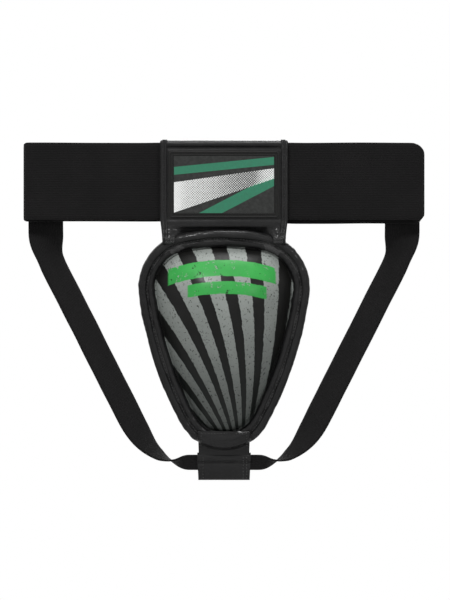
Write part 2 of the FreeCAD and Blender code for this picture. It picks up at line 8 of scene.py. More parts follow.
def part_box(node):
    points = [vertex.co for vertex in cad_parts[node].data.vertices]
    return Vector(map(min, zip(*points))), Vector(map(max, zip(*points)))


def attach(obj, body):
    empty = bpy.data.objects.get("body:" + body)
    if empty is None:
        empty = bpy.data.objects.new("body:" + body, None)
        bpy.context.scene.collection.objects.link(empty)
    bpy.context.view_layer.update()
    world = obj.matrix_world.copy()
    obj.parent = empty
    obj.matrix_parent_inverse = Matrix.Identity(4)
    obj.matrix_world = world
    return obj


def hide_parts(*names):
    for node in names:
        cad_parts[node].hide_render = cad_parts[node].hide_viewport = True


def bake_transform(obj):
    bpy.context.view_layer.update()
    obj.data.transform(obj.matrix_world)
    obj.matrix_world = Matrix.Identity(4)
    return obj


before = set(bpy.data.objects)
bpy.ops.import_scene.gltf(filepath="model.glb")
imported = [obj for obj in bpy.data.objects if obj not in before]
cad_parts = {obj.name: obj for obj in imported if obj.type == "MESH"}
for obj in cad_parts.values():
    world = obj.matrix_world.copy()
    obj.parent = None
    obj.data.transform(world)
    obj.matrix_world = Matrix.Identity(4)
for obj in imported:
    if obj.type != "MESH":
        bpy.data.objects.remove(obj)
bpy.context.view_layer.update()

# A groin protector as it hangs: a wide elastic waistband, a padded leather yoke, a
# cup with a printed steel shell in a leather rim, and two leg straps that meet in a
# leather keeper under the cup. Sizes are millimetres and go into the meshes as metres.

# ---- Camera, lamps and floor ----
# The product hangs in front of a white backdrop and is seen straight on with a long
# lens. A pale floor lies well below it.
class Signal:
    """A value that changes over a surface. Arithmetic on it adds Math nodes."""

    def __init__(self, finish, socket):
        self.finish, self.socket = finish, socket

    def sums(self, operation, first, second=0.0):
        return self.finish.node("ShaderNodeMath", {"operation": operation},
                                {0: first, 1: second})

    def __add__(self, other):
        return self.sums("ADD", self, other)

    def __sub__(self, other):
        return self.sums("SUBTRACT", self, other)

    def __rsub__(self, other):
        return self.sums("SUBTRACT", other, self)

    def __mul__(self, other):
        return self.sums("MULTIPLY", self, other)

    def __truediv__(self, other):
        return self.sums("DIVIDE", self, other)

    def __pow__(self, other):
        return self.sums("POWER", self, other)

    def __abs__(self):
        return self.sums("ABSOLUTE", self)

    __radd__ = __add__
    __rmul__ = __mul__

    def wave(self):
        return self.sums("SINE", self)

    def above(self, low, high):
        """0 below low, 1 above high, soft between them."""
        return self.finish.node(
            "ShaderNodeMapRange", {"interpolation_type": "SMOOTHSTEP"},
            {"Value": self, "From Min": low, "From Max": high})


class Finish:
    """One material: a Principled shader and the nodes that feed it."""

    def __init__(self, name, constants=None):
        self.material = bpy.data.materials.new(name)
        self.material.use_nodes = True
        self.tree = self.material.node_tree
        self.shader = self.tree.nodes["Principled BSDF"]
        for socket, value in (constants or {}).items():
            self.shader.inputs[socket].default_value = value

    def node(self, kind, settings=None, sockets=None, output=0):
        made = self.tree.nodes.new(kind)
        for name, value in (settings or {}).items():
            if name == "stops":
                ramp = made.color_ramp.elements
                while len(ramp) < len(value):
                    ramp.new(0.5)
                for stop, (position, colour) in zip(ramp, value):
                    stop.position, stop.color = position, (*colour, 1)
            else:
                setattr(made, name, value)
        for name, value in (sockets or {}).items():
            self.feed(made.inputs[name], value)
        return Signal(self, made.outputs[output])

    def feed(self, socket, value):
        if isinstance(value, Signal):
            self.tree.links.new(value.socket, socket)
        elif socket.type == "RGBA" and len(value) == 3:
            socket.default_value = (*value, 1)
        else:
            socket.default_value = value

    def give(self, socket, value):
        self.feed(self.shader.inputs[socket], value)

    def place(self, axis=None):
        """Object coordinates in metres, or one of them."""
        here = self.node("ShaderNodeTexCoord", output=3)
        if axis is None:
            return here
        return self.node("ShaderNodeSeparateXYZ", None, {0: here}, "XYZ".index(axis))

    def weave(self, axis):
        """The piece's own map: 0 runs along it, 1 across it, in metres."""
        here = self.node("ShaderNodeUVMap", {"uv_map": "weave"})
        return self.node("ShaderNodeSeparateXYZ", None, {0: here}, axis)

    def noise(self, scale, detail=2.0, rough=0.5, at=None):
        return self.node("ShaderNodeTexNoise", None, {
            "Vector": at or self.place(), "Scale": scale, "Detail": detail,
            "Roughness": rough})

    def cells(self, scale, feature="F1", at=None):
        return self.node("ShaderNodeTexVoronoi", {"feature": feature}, {
            "Vector": at or self.place(), "Scale": scale})

    def mix(self, share, first, second):
        return self.node("ShaderNodeMix", {"data_type": "RGBA"},
                         {0: share, 6: first, 7: second}, 2)

    def bump(self, height, distance, under=None):
        sockets = {"Height": height, "Distance": distance}
        if under:
            sockets["Normal"] = under
        return self.node("ShaderNodeBump", None, sockets)


floor_finish = Finish("floor_paint", {"Specular IOR Level": 0.1})
floor_finish.give("Base Color", floor_finish.mix(
    floor_finish.noise(3.0), (0.86, 0.86, 0.86), (0.90, 0.90, 0.90)))
floor_finish.give("Roughness", floor_finish.noise(9.0) * 0.1 + 0.75)
floor_finish.shader.inputs["Emission Strength"].default_value = 1.0
floor_finish.give("Emission Color", floor_finish.mix(
    floor_finish.node("ShaderNodeLightPath") * 0.55, (0, 0, 0), (1, 1, 1)))

bpy.ops.mesh.primitive_circle_add(vertices=96, radius=1.5, fill_type="NGON",
                                  location=(0, 0.1, -0.62))
floor = bpy.context.object
floor.name = "floor"
floor.data.materials.append(floor_finish.material)

view = bpy.data.cameras.new("front_view")
view.sensor_fit, view.sensor_height, view.lens = "VERTICAL", 24, 100
view.clip_end = 20
pixel, frame_high, frame_middle = 0.000975, 600, (225 - 224, 181.5 - 300)
camera = bpy.data.objects.new("front_view", view)
camera.location = (pixel * frame_middle[0],
                   -frame_high * pixel * view.lens / view.sensor_height,
                   pixel * frame_middle[1])
camera.rotation_euler = (math.pi / 2, 0, 0)
bpy.context.collection.objects.link(camera)
bpy.context.scene.camera = camera
bpy.context.scene.view_settings.view_transform = "Standard"

for name, spot, size, watts in (
        ("key_lamp", (-0.45, -1.2, 1.35), 0.38, 24),
        ("fill_lamp", (1.2, -1.5, 0.5), 0.42, 7),
        ("top_lamp", (0.1, -0.1, 1.6), 0.5, 12),
        ("back_lamp", (0.2, 1.8, 0.9), 1.0, 22)):
    lamp = bpy.data.lights.new(name, "AREA")
    lamp.shape, lamp.size, lamp.energy = "DISK", size, watts
    holder = bpy.data.objects.new(name, lamp)
    holder.location = spot
    aim = Vector((0, 0, -0.12)) - Vector(spot)
    holder.rotation_euler = aim.to_track_quat("-Z", "Y").to_euler()
    bpy.context.collection.objects.link(holder)

world = bpy.data.worlds.new("backdrop")
world.use_nodes = True
bpy.context.scene.world = world
tree = world.node_tree
rays = tree.nodes.new("ShaderNodeLightPath")
seen = tree.nodes.new("ShaderNodeMath")
seen.operation = "MAXIMUM"
tree.links.new(rays.outputs["Is Camera Ray"], seen.inputs[0])
clear = tree.nodes.new("ShaderNodeMath")
clear.operation = "MAXIMUM"
tree.links.new(rays.outputs["Is Glossy Ray"], clear.inputs[0])
tree.links.new(rays.outputs["Is Transmission Ray"], clear.inputs[1])
tree.links.new(clear.outputs[0], seen.inputs[1])
light = tree.nodes.new("ShaderNodeMapRange")
light.inputs["To Min"].default_value = 0.2
light.inputs["To Max"].default_value = 1.0
tree.links.new(seen.outputs[0], light.inputs["Value"])
tree.nodes["Background"].inputs["Color"].default_value = (1, 1, 1, 1)
tree.links.new(light.outputs[0], tree.nodes["Background"].inputs["Strength"])


# ---- Waistband ----
# A strip of 75 mm woven elastic, lying flat as a loop. Both ends are sewn into the
# yoke. The fold on the right slumps, so the back layer hangs a little lower there.
def box_mm(node):
    low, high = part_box(node)
    return low * 1000, high * 1000


def ease(value, start, end):
    share = min(1, max(0, (value - start) / (end - start)))
    return share * share * (3 - 2 * share)


def ripple(*place):
    """Smooth noise between -1 and 1 that is the same at every run."""
    return noise.noise(Vector(place))


def make_piece(name, points, faces, finish, weave=None):
    """A closed mesh with its faces outwards. Points are in millimetres."""
    mesh = bpy.data.meshes.new(name)
    mesh.from_pydata([Vector(point) * 0.001 for point in points], [], faces)
    if weave:
        layer = mesh.uv_layers.new(name="weave")
        for loop in mesh.loops:
            u, v = weave[loop.vertex_index]
            layer.data[loop.index].uv = (u * 0.001, v * 0.001)
    shape = bmesh.new()
    shape.from_mesh(mesh)
    bmesh.ops.recalc_face_normals(shape, faces=shape.faces)
    shape.to_mesh(mesh)
    shape.free()
    mesh.polygons.foreach_set("use_smooth", [True] * len(mesh.polygons))
    mesh.materials.append(finish.material)
    piece = bpy.data.objects.new(name, mesh)
    bpy.context.collection.objects.link(piece)
    return piece


def loft(name, rings, finish, weave=None, looped=False):
    """Join closed rings of points into a skin, with its ends closed or joined."""
    count, around = len(rings), len(rings[0])
    faces = []
    for i in range(count if looped else count - 1):
        after = (i + 1) % count
        for j in range(around):
            beside = (j + 1) % around
            faces.append((i * around + j, i * around + beside,
                          after * around + beside, after * around + j))
    if not looped:
        faces.append(tuple(range(around)))
        faces.append(tuple((count - 1) * around + j for j in range(around)))
    points = [point for ring in rings for point in ring]
    flat = [spot for ring in weave for spot in ring] if weave else None
    piece = make_piece(name, points, faces, finish, flat)
    ends = set()
    for polygon in piece.data.polygons:
        if len(polygon.vertices) != 4:
            polygon.use_smooth = False
            ends.update(polygon.edge_keys)
    for edge in piece.data.edges:
        edge.use_edge_sharp = edge.key in ends
    return piece


def strip_ring(columns=14):
    """Places round a strip's section: across it from -1 to 1, and front or back."""
    run = [-1 + 2 * i / columns for i in range(1, columns)]
    front = [(-0.99, 0.85)] + [(place, 1) for place in run] + [(0.99, 0.85)]
    back = [(0.99, -0.85)] + [(place, -1) for place in reversed(run)] + [(-0.99, -0.85)]
    return front + [(1, 0.4), (1, -0.4)] + back + [(-1, -0.4), (-1, 0.4)]


def woven_strip(name, stations, thick, finish, columns=14, along=0):
    """Elastic strip. A station holds its middle, half its width as a vector, the way
    its front faces, and its thickness as a share."""
    rings, weave, before = [], [], None
    for middle, half, face, share in stations:
        if before is not None:
            along += (middle - before).length
        before = middle
        ring = strip_ring(columns)
        rings.append([middle + half * place + face * (thick / 2 * side * share)
                      for place, side in ring])
        weave.append([(along, half.length * (1 + place)) for place, side in ring])
    return loft(name, rings, finish, weave)


elastic = Finish("woven_elastic", {"Specular IOR Level": 0.07, "Sheen Weight": 0.04,
                                   "Sheen Roughness": 0.5})
along, across = elastic.weave(0), elastic.weave(1)
rib = (across * (2 * math.pi / 0.0017)).wave()
pick = (along * (2 * math.pi / 0.0011) + rib * 1.2).wave()
cloth = rib * 0.5 + pick * 0.3
wear = elastic.noise(26.0, 4.0)
elastic.give("Base Color", elastic.mix(
    (cloth * 0.25 + wear * 0.9).above(0.1, 1.0),
    (0.0070, 0.0068, 0.0070), (0.0125, 0.0120, 0.0122)))
elastic.give("Roughness", wear * 0.12 + 0.80)
elastic.give("Normal", elastic.bump(
    cloth, 0.0002, elastic.bump(elastic.noise(900.0), 0.0001)))

band_low, band_high = box_mm("waistband")
yoke_low, yoke_high = box_mm("yoke_cover")
elastic_thick, tuck, slump = 2.0, 12.0, 13.5
band_end = band_high.x
layer_y = band_high.y - elastic_thick / 2
tail = yoke_high.x - tuck


def rounding(past):
    """How far a round corner has fallen, from 0 where it starts to 1 at its end."""
    return 1 - math.sqrt(max(0, 1 - min(1, past) ** 2))


def band_route():
    """Middle line of the loop seen from above, with the way its outer face looks."""
    turn = band_end - elastic_thick / 2 - layer_y
    run = []
    for side in (-1, 1):
        leg = [tail + i * (turn - tail) / 36 for i in range(37)]
        front = [(side * x, -layer_y, 0, -1) for x in leg]
        bend = []
        for i in range(1, 16):
            angle = math.pi * i / 16
            bend.append((side * (turn + layer_y * math.sin(angle)),
                         -layer_y * math.cos(angle), side * math.sin(angle), -math.cos(angle)))
        run.append(front + bend)
    back = [(-turn + 2 * turn * i / 96, layer_y, 0, 1) for i in range(97)]
    return run[0] + back + list(reversed(run[1]))


stations = []
for x, y, out_x, out_y in band_route():
    behind = ease(y, -layer_y, layer_y)
    free = ease(abs(x), 64, 84) * (1 - ease(abs(x), band_end - 16, band_end - 4))
    if y > 0:
        free *= 1 - ease(abs(x), 130, 150)
    top = band_high.z + 0.7 * ripple(x / 60, y / 9, 3.1) * ease(abs(x), 62, 80)
    low = band_low.z + 0.6 * ripple(x / 55, y / 9, 7.7) * ease(abs(x), 62, 80)
    low -= behind * (3.6 * ease(x, 20, 70) + 1.4 * ease(-x, 20, 70))
    top -= behind * (2.4 * ease(x, 20, 70) + 1.2 * ease(-x, 20, 70))
    if x > 0:
        top -= slump * rounding(max(0, x - (band_end - slump)) / slump)
        low += 6.5 * ease(x, band_end - 7, band_end)
    else:
        fallen = rounding(max(0, -x - (band_end - 4)) / 4)
        top -= 2.5 * fallen
        low += 1.5 * fallen
    sway = free * (1.5 * ripple(x / 70, 2.2, y / 20) + 0.4 * ripple(x / 24, 5.1, y / 20))
    middle = Vector((x, y + sway, (top + low) / 2))
    half = Vector((0, 0.5 * free * ripple(x / 50, 9.4, 0), (top - low) / 2))
    stations.append((middle, half, Vector((out_x, out_y, 0)), 1))
waistband = woven_strip("waistband_elastic", stations, elastic_thick, elastic, 24)
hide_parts("waistband")
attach(waistband, "belt")

# ---- Stitching ----
# Bonded black thread, sewn in straight rows. Each stitch is a short drop of thread
# pulled into the surface, a little uneven in length and lie.
thread = Finish("bonded_thread", {"Specular IOR Level": 0.35})
twist = (thread.place("X") * 2600 + thread.place("Z") * 3900).wave()
thread.give("Base Color", thread.mix(
    twist.above(-0.6, 0.9), (0.020, 0.020, 0.020), (0.075, 0.075, 0.075)))
thread.give("Roughness", twist * 0.08 + 0.5)
thread.give("Normal", thread.bump(twist, 0.0002))


def stitch_tree():
    """Rows of stitches along the edges of the mesh that carries the modifier."""
    group = bpy.data.node_groups.new("stitch_rows", "GeometryNodeTree")
    face = group.interface
    face.new_socket("Geometry", in_out="INPUT", socket_type="NodeSocketGeometry")
    for name, default in (("Pitch", 0.003), ("Stitch Length", 0.0022),
                          ("Thread Width", 0.0007), ("Unevenness", 0.15)):
        socket = face.new_socket(name, in_out="INPUT", socket_type="NodeSocketFloat")
        socket.default_value = default
    seed = face.new_socket("Seed", in_out="INPUT", socket_type="NodeSocketInt")
    seed.default_value = 1
    face.new_socket("Thread", in_out="INPUT", socket_type="NodeSocketMaterial")
    face.new_socket("Geometry", in_out="OUTPUT", socket_type="NodeSocketGeometry")
    made, link = group.nodes.new, group.links.new
    given, result = made("NodeGroupInput"), made("NodeGroupOutput")
    row, spots = made("GeometryNodeMeshToCurve"), made("GeometryNodeCurveToPoints")
    spots.mode = "LENGTH"
    drop, place = made("GeometryNodeMeshUVSphere"), made("GeometryNodeInstanceOnPoints")
    drop.inputs["Segments"].default_value, drop.inputs["Rings"].default_value = 6, 5
    drop.inputs["Radius"].default_value = 0.5
    size, chance = made("ShaderNodeCombineXYZ"), made("FunctionNodeRandomValue")
    chance.data_type = "FLOAT_VECTOR"
    low, high = made("ShaderNodeMath"), made("ShaderNodeMath")
    low.operation, high.operation = "SUBTRACT", "ADD"
    low.inputs[0].default_value = high.inputs[0].default_value = 1
    stretch = made("ShaderNodeVectorMath")
    stretch.operation = "MULTIPLY"
    smooth, real, dye = (made("GeometryNodeSetShadeSmooth"),
                         made("GeometryNodeRealizeInstances"), made("GeometryNodeSetMaterial"))
    link(given.outputs["Geometry"], row.inputs[0])
    link(row.outputs[0], spots.inputs["Curve"])
    link(given.outputs["Pitch"], spots.inputs["Length"])
    link(given.outputs["Thread Width"], size.inputs["X"])
    link(given.outputs["Thread Width"], size.inputs["Y"])
    link(given.outputs["Stitch Length"], size.inputs["Z"])
    link(given.outputs["Unevenness"], low.inputs[1])
    link(given.outputs["Unevenness"], high.inputs[1])
    link(low.outputs[0], chance.inputs["Min"])
    link(high.outputs[0], chance.inputs["Max"])
    link(given.outputs["Seed"], chance.inputs["Seed"])
    link(size.outputs[0], stretch.inputs[0])
    link(chance.outputs["Value"], stretch.inputs[1])
    link(spots.outputs["Points"], place.inputs["Points"])
    link(drop.outputs["Mesh"], place.inputs["Instance"])
    link(spots.outputs["Rotation"], place.inputs["Rotation"])
    link(stretch.outputs[0], place.inputs["Scale"])
    link(place.outputs[0], real.inputs[0])
    link(real.outputs[0], smooth.inputs[0])
    link(smooth.outputs[0], dye.inputs["Geometry"])
    link(given.outputs["Thread"], dye.inputs["Material"])
    link(dye.outputs[0], result.inputs[0])
    return group


stitch_rows = stitch_tree()


def sew(name, rows, pitch=3.0, length=2.3, width=0.75, seed=1, uneven=0.12):
    """Stitches along rows of points in millimetres, made a plain mesh."""
    points, edges = [], []
    for row in rows:
        first = len(points)
        points += [Vector(point) * 0.001 for point in row]
        edges += [(first + i, first + i + 1) for i in range(len(row) - 1)]
    mesh = bpy.data.meshes.new(name + "_rows")
    mesh.from_pydata(points, edges, [])
    carrier = bpy.data.objects.new(name + "_rows", mesh)
    bpy.context.collection.objects.link(carrier)
    sewing = carrier.modifiers.new("sewing", "NODES")
    sewing.node_group = stitch_rows
    wanted = {"Pitch": pitch * 0.001, "Stitch Length": length * 0.001,
              "Thread Width": width * 0.001, "Unevenness": uneven, "Seed": seed,
              "Thread": thread.material}
    for item in stitch_rows.interface.items_tree:
        if item.in_out == "INPUT" and item.name in wanted:
            sewing[item.identifier] = wanted[item.name]
    bpy.context.view_layer.update()
    ready = carrier.evaluated_get(bpy.context.evaluated_depsgraph_get())
    result = bpy.data.objects.new(name, bpy.data.meshes.new_from_object(ready))
    bpy.data.objects.remove(carrier)
    bpy.context.collection.objects.link(result)
    if not result.data.materials:
        result.data.materials.append(thread.material)
    return result


# ---- Yoke and neck ----
# One padded leather panel sewn round the waistband's ends. Below the label it thins to
# a neck, dips into the fold and laps over the rim's shoulders, where it is tacked down.
leather = Finish("grained_leather", {"Specular IOR Level": 0.10, "Coat Weight": 0.22,
                                    "Coat Roughness": 0.19})
grain = leather.cells(820.0, "DISTANCE_TO_EDGE")
pores = leather.noise(1500.0, 3.0)
creases = leather.noise(75.0, 5.0, 0.62)
shade = leather.noise(16.0, 3.0)
leather.give("Base Color", leather.mix(
    (shade * 0.9 + creases * 0.3).above(0.3, 0.95),
    (0.0045, 0.0045, 0.0047), (0.0120, 0.0120, 0.0122)))
leather.give("Roughness", creases * 0.16 + shade * 0.12 + 0.26)
leather.give("Normal", leather.bump(
    grain.above(0.0, 0.16) + pores * 0.3, 0.00012, leather.bump(creases, 0.0009)))

fold = Vector((0, (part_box("yoke_foam")[0].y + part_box("yoke_foam")[1].y) * 500, -42.9))
lean = math.radians(7.5)


def in_cup(x, y, z):
    """A point of the cup's own upright frame, hung from the fold at its lean."""
    return Vector((x, fold.y + y * math.cos(lean) - z * math.sin(lean),
                   fold.z + y * math.sin(lean) + z * math.cos(lean)))


def profile(stops, z):
    """Smooth line through a few stops, each a height and a depth, from the top down."""
    if z >= stops[0][0]:
        return stops[0][1]
    for (high, first), (low, second) in zip(stops, stops[1:]):
        if z >= low:
            return first + (second - first) * ease(high - z, 0, high - low)
    return stops[-1][1]


front_y, back_y, top_z = yoke_low.y, yoke_high.y, yoke_high.z
tack_x, tack_z = 52.5, -57.5


def neck_edge(x):
    """Lower edge of the neck: an arch that drops to the shoulders."""
    return -49.5 - 12.0 * min(1, abs(x) / 50) ** 2


def yoke_front(x, z):
    middle = profile([(top_z, front_y + 3.2), (top_z - 2.2, front_y - 0.6), (35.5, front_y - 1.5),
                      (32.0, front_y + 1.3), (29.3, front_y + 0.15), (-34.8, front_y + 0.15),
                      (-36.8, front_y + 0.3), (-40, front_y - 0.8), (-43.8, front_y - 0.7),
                      (-46.6, front_y + 2.4), (-50, front_y + 4.4)], z)
    shoulder = profile([(-40, front_y - 0.8), (-46, front_y - 1.2), (-51, front_y - 3.6),
                        (-56, front_y - 5.6), (-61, front_y - 5.2), (-62.5, front_y - 3.8)], z)
    share = ease(abs(x), 38, 51) * ease(-z, 41, 46)
    y = middle + (shoulder - middle) * share
    pull = math.hypot(abs(x) - tack_x, z - tack_z)
    spokes = math.sin(7 * math.atan2(z - tack_z, abs(x) - tack_x))
    y += 0.7 * spokes * math.exp(-((pull - 6) / 6) ** 2) * ease(-z, 38, 46)
    y += 0.35 * ripple(x / 11, z / 6, 4) * ease(-z, 36, 42)
    y += 0.30 * ripple(x / 9, z / 14, 1.5) * ease(z, 30, 34)
    return y


def yoke_back(x, z):
    y = profile([(top_z, back_y - 3.2), (top_z - 2.2, back_y - 0.4), (top_z - 6, back_y),
                 (-37, back_y), (-41.4, back_y - 1.6), (-44.0, fold.y + 1.2),
                 (-50, fold.y + 1.0)], z)
    under = min(-2.0, yoke_front(x, z) + 2.6)
    return y + (under - y) * ease(-z, 47, 51)


half_yoke, columns, rows = 57.0, 76, 84
rings = []
for i in range(columns + 1):
    x = half_yoke * (2 * i / columns - 1)
    heights = [top_z - 0.3 + (neck_edge(x) - top_z + 0.3) * j / rows for j in range(rows + 1)]
    front = [Vector((x, yoke_front(x, z), z)) for z in heights]
    back = [Vector((x, yoke_back(x, z), z)) for z in reversed(heights)]
    crest = Vector((x, (front_y + back_y) / 2, top_z))
    rings.append(front + back + [crest])
yoke = loft("yoke_leather", rings, leather)
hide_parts("yoke_cover", "apron")
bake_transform(yoke)

# ---- Side bindings ----
# A leather strip folded over each open side of the yoke and sewn through twice. The
# two rows of thread leave a pair of round ridges that run on down the neck.
binding_low, binding_high = box_mm("binding_right")


def make_binding(name, node, side):
    low_end, rings, seams = -64.0, [], []
    outer, inner = binding_high.x, binding_low.x
    for i in range(101):
        z = top_z + 0.2 + (low_end - top_z - 0.2) * i / 100
        slim = ease(-z, 30, 60)
        edge, root = outer - 2.6 * slim, inner - 1.2 * slim
        crest = min(1, max(0, z - (top_z - 3.4)) / 3.6)
        edge -= 2.6 * (1 - math.sqrt(1 - crest * crest))
        face = binding_low.y - 0.2
        if z < -38:
            face = profile([(-38, binding_low.y - 0.2), (-46, front_y - 2.4),
                            (-52, front_y - 4.6), (-56.5, front_y - 6.4),
                            (-60, front_y - 5.4), (-64, front_y - 0.6)], z)
        rear = profile([(-40, binding_high.y), (-45, binding_high.y - 5), (-50, face + 4.6),
                        (-60, face + 3.6)], z)
        face += 1.6 * (1 - math.sqrt(1 - crest * crest))
        face += 0.30 * ripple(z / 7, side * 3, 2)
        wide = edge - root
        section = []
        for j in range(15):
            share = j / 14
            ridge = abs(math.sin(math.pi * 2 * share ** 0.9)) ** 0.6
            section.append((root + wide * 0.93 * share, face + 1.35 - 1.55 * ridge))
        section += [(edge - 0.15, face + 1.5), (edge, face + 2.6)]
        section += [(edge, (face + rear) / 2), (edge, rear - 1.4), (edge - 0.5, rear - 0.4),
                    (edge - 1.4, rear), (root + 1.0, rear), (root, rear - 0.6)]
        rings.append([Vector((side * x, y, z)) for x, y in section])
        seams.append((z, Vector((side * (root + wide * 0.445), face + 1.0, z))))
    strip = loft(name, rings, leather)
    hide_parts(node)
    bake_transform(strip)
    rows = [point for z, point in seams if -40 < z < top_z - 1]
    seam = sew(name + "_seam", [rows], 3.0, 2.2, 0.7, seed=4 + side)
    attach(seam, "belt")


make_binding("binding_strip_left", "binding_left", -1)
make_binding("binding_strip_right", "binding_right", 1)

# ---- Label ----
# A moulded rubber patch with a double raised border, glued and sewn to the yoke. Its
# panel is printed with a plain sports pattern of slanting bands and dots.
rubber = Finish("moulded_rubber", {"Specular IOR Level": 0.12})
mould = rubber.noise(420.0, 4.0)
rubber.give("Base Color", rubber.mix(mould, (0.010, 0.010, 0.010), (0.022, 0.022, 0.021)))
rubber.give("Roughness", mould * 0.25 + 0.38)
rubber.give("Normal", rubber.bump(mould, 0.00015))
patch_low, patch_high = box_mm("label_base")
panel_low, panel_high = box_mm("label_inlay")
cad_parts["label_base"].data.materials.clear()
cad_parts["label_base"].data.materials.append(rubber.material)


def border(inset, wide, high):
    """A round bead that follows the patch's edge at an inset, closed into a ring."""
    left, right = patch_low.x + inset, patch_high.x - inset
    low, top = patch_low.z + inset, patch_high.z - inset
    radius, rings = 2.2, []
    for cx, cz, start in ((right - radius, top - radius, 90), (right - radius, low + radius, 0),
                          (left + radius, low + radius, -90), (left + radius, top - radius, -180)):
        for i in range(9):
            angle = math.radians(start - 90 * i / 8)
            way = Vector((math.cos(angle), 0, math.sin(angle)))
            middle = Vector((cx, patch_low.y, cz)) + way * radius
            rings.append([middle + way * (wide / 2 * math.cos(turn))
                          + Vector((0, -high * math.sin(turn), 0))
                          for turn in [math.pi * k / 8 for k in range(9)]])
    return rings


for name, inset, wide, high in (("label_border_outer", 1.3, 1.5, 0.95),
                                ("label_border_inner", 3.9, 1.1, 0.75)):
    bead = loft(name, border(inset, wide, high), rubber, looped=True)
    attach(bead, "belt")
    if inset < 2:
        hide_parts("label_frame")

ink = Finish("panel_print", {"Specular IOR Level": 0.2, "Coat Weight": 0.08,
                             "Coat Roughness": 0.25})
px = ink.place("X") * 1000
pz = ink.place("Z") * 1000 - (panel_low.z + panel_high.z) / 2
worn = ink.noise(260.0, 4.0, 0.6)
spots = (px * (2 * math.pi / 2.4)).wave() * (pz * (2 * math.pi / 2.4)).wave()
rise = pz - px * 0.24
fade = (px * -1.0).above(-30, 46) + abs(px + 4).above(30, 47)
wedge = abs(rise + 1.0) + px * 0.10
dotted = (spots * 0.9 + 0.75 - (1 - fade) * 0.9 - fade * 0.35).above(0.0, 0.12)
broad = (1 - wedge.above(9.6, 10.1)) * dotted
upper = abs(pz - px * 0.10 - 18).above(3.6, 4.0)
lower = abs(pz - px * 0.52 + 21).above(5.6, 6.0)
green = (1 - upper * lower) * (0.9 - worn * 0.35)
ground = ink.mix(worn.above(0.35, 0.7), (0.016, 0.017, 0.016), (0.028, 0.029, 0.028))
inked = ink.mix(green, ground, (0.040, 0.245, 0.140))
inked = ink.mix(broad * (1 - worn.above(0.66, 0.74)), inked, (0.80, 0.81, 0.80))
ink.give("Base Color", inked)
ink.give("Roughness", worn * 0.2 + 0.3)
ink.give("Normal", ink.bump(worn + broad * 0.5, 0.00008))
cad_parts["label_inlay"].data.materials.clear()
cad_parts["label_inlay"].data.materials.append(ink.material)

# ---- Rim ----
# Foam in black leather, sewn round the shell's flange. A sewn groove parts its front
# into a flat inner roll and a fuller outer roll. The leather gathers in the curves.
rim = {"top": 3.9, "height": 216.9, "breadth": 166.6, "arch": 200.0, "shoulder": 54.2,
       "side": 387.0, "foot": 47.6, "width": 16.6, "front": 10.5, "back": 9.0}


def outline_arcs():
    """Centre, radius, first and last angle of each arc of the rim's outer edge."""
    arch, shoulder, side, foot = rim["arch"], rim["shoulder"], rim["side"], rim["foot"]
    bend = math.asin((rim["breadth"] / 2 - shoulder) / (arch - shoulder))
    top = Vector((0, 0, -rim["top"] - arch))
    right = top + Vector((math.sin(bend), 0, math.cos(bend))) * (arch - shoulder)
    bottom = Vector((0, 0, foot - rim["top"] - rim["height"]))
    line = bottom - right
    span = line.length
    reach = ((side - shoulder) ** 2 - (side - foot) ** 2) / (2 * span) + span / 2
    away = math.sqrt((side - shoulder) ** 2 - reach ** 2)
    line.normalize()
    far = right + line * reach + Vector((line.z, 0, -line.x)) * away
    turn = math.atan2(right.x - far.x, right.z - far.z)
    end = math.atan2(bottom.x - far.x, bottom.z - far.z)
    arcs = [(top, arch, 0, bend), (right, shoulder, bend, turn), (far, side, turn, end),
            (bottom, foot, end, 2 * math.pi - end)]
    for centre, radius, first, last in ((far, side, turn, end), (right, shoulder, bend, turn)):
        arcs.append((Vector((-centre.x, 0, centre.z)), radius,
                     2 * math.pi - last, 2 * math.pi - first))
    return arcs + [(top, arch, -bend, 0)]


def round_outline(step):
    """Outer edge from the top, clockwise: points, each with its way inwards."""
    spots = []
    for centre, radius, first, last in outline_arcs():
        count = max(2, round(radius * (last - first) / step))
        for i in range(count):
            angle = first + (last - first) * i / count
            out = Vector((math.sin(angle), 0, math.cos(angle)))
            spots.append((centre + out * radius, -out))
    return spots


rim_spots = round_outline(1.7)


def rim_section():
    """Section of the rim: depth from the outer edge, and front to back."""
    roll, edge, width = 5.0, 4.0, rim["width"]
    groove = math.asin((width / 2 - roll) / roll)
    pieces = [(roll, roll - rim["front"], roll, -math.pi / 2, groove, 15),
              (width - roll, roll - rim["front"], roll, -groove, math.pi / 2, 15),
              (width - edge, rim["back"] - edge, edge, math.pi / 2, math.pi, 6),
              (edge, rim["back"] - edge, edge, math.pi, 1.5 * math.pi, 6)]
    section = []
    for number, (depth, y, radius, first, last, count) in enumerate(pieces):
        for i in range(count + 1):
            angle = first + (last - first) * i / count
            out = (math.sin(angle), -math.cos(angle))
            if number == 1 and i == 0:
                continue
            section.append((depth + radius * out[0], y + radius * out[1], out, number))
    return section


foot_z = -rim["top"] - rim["height"]


def foot_height(x, z):
    """Height above the rim's outer edge near its foot."""
    return z - foot_z - rim["foot"] + math.sqrt(rim["foot"] ** 2 - min(abs(x), 40) ** 2)


def tab_line(height):
    """How far forward the tab pulls tight over the foot of the rim."""
    return profile([(19.4, -8.6), (10.8, -11.8), (4.6, -9.1), (-2.2, -1.6)], height)


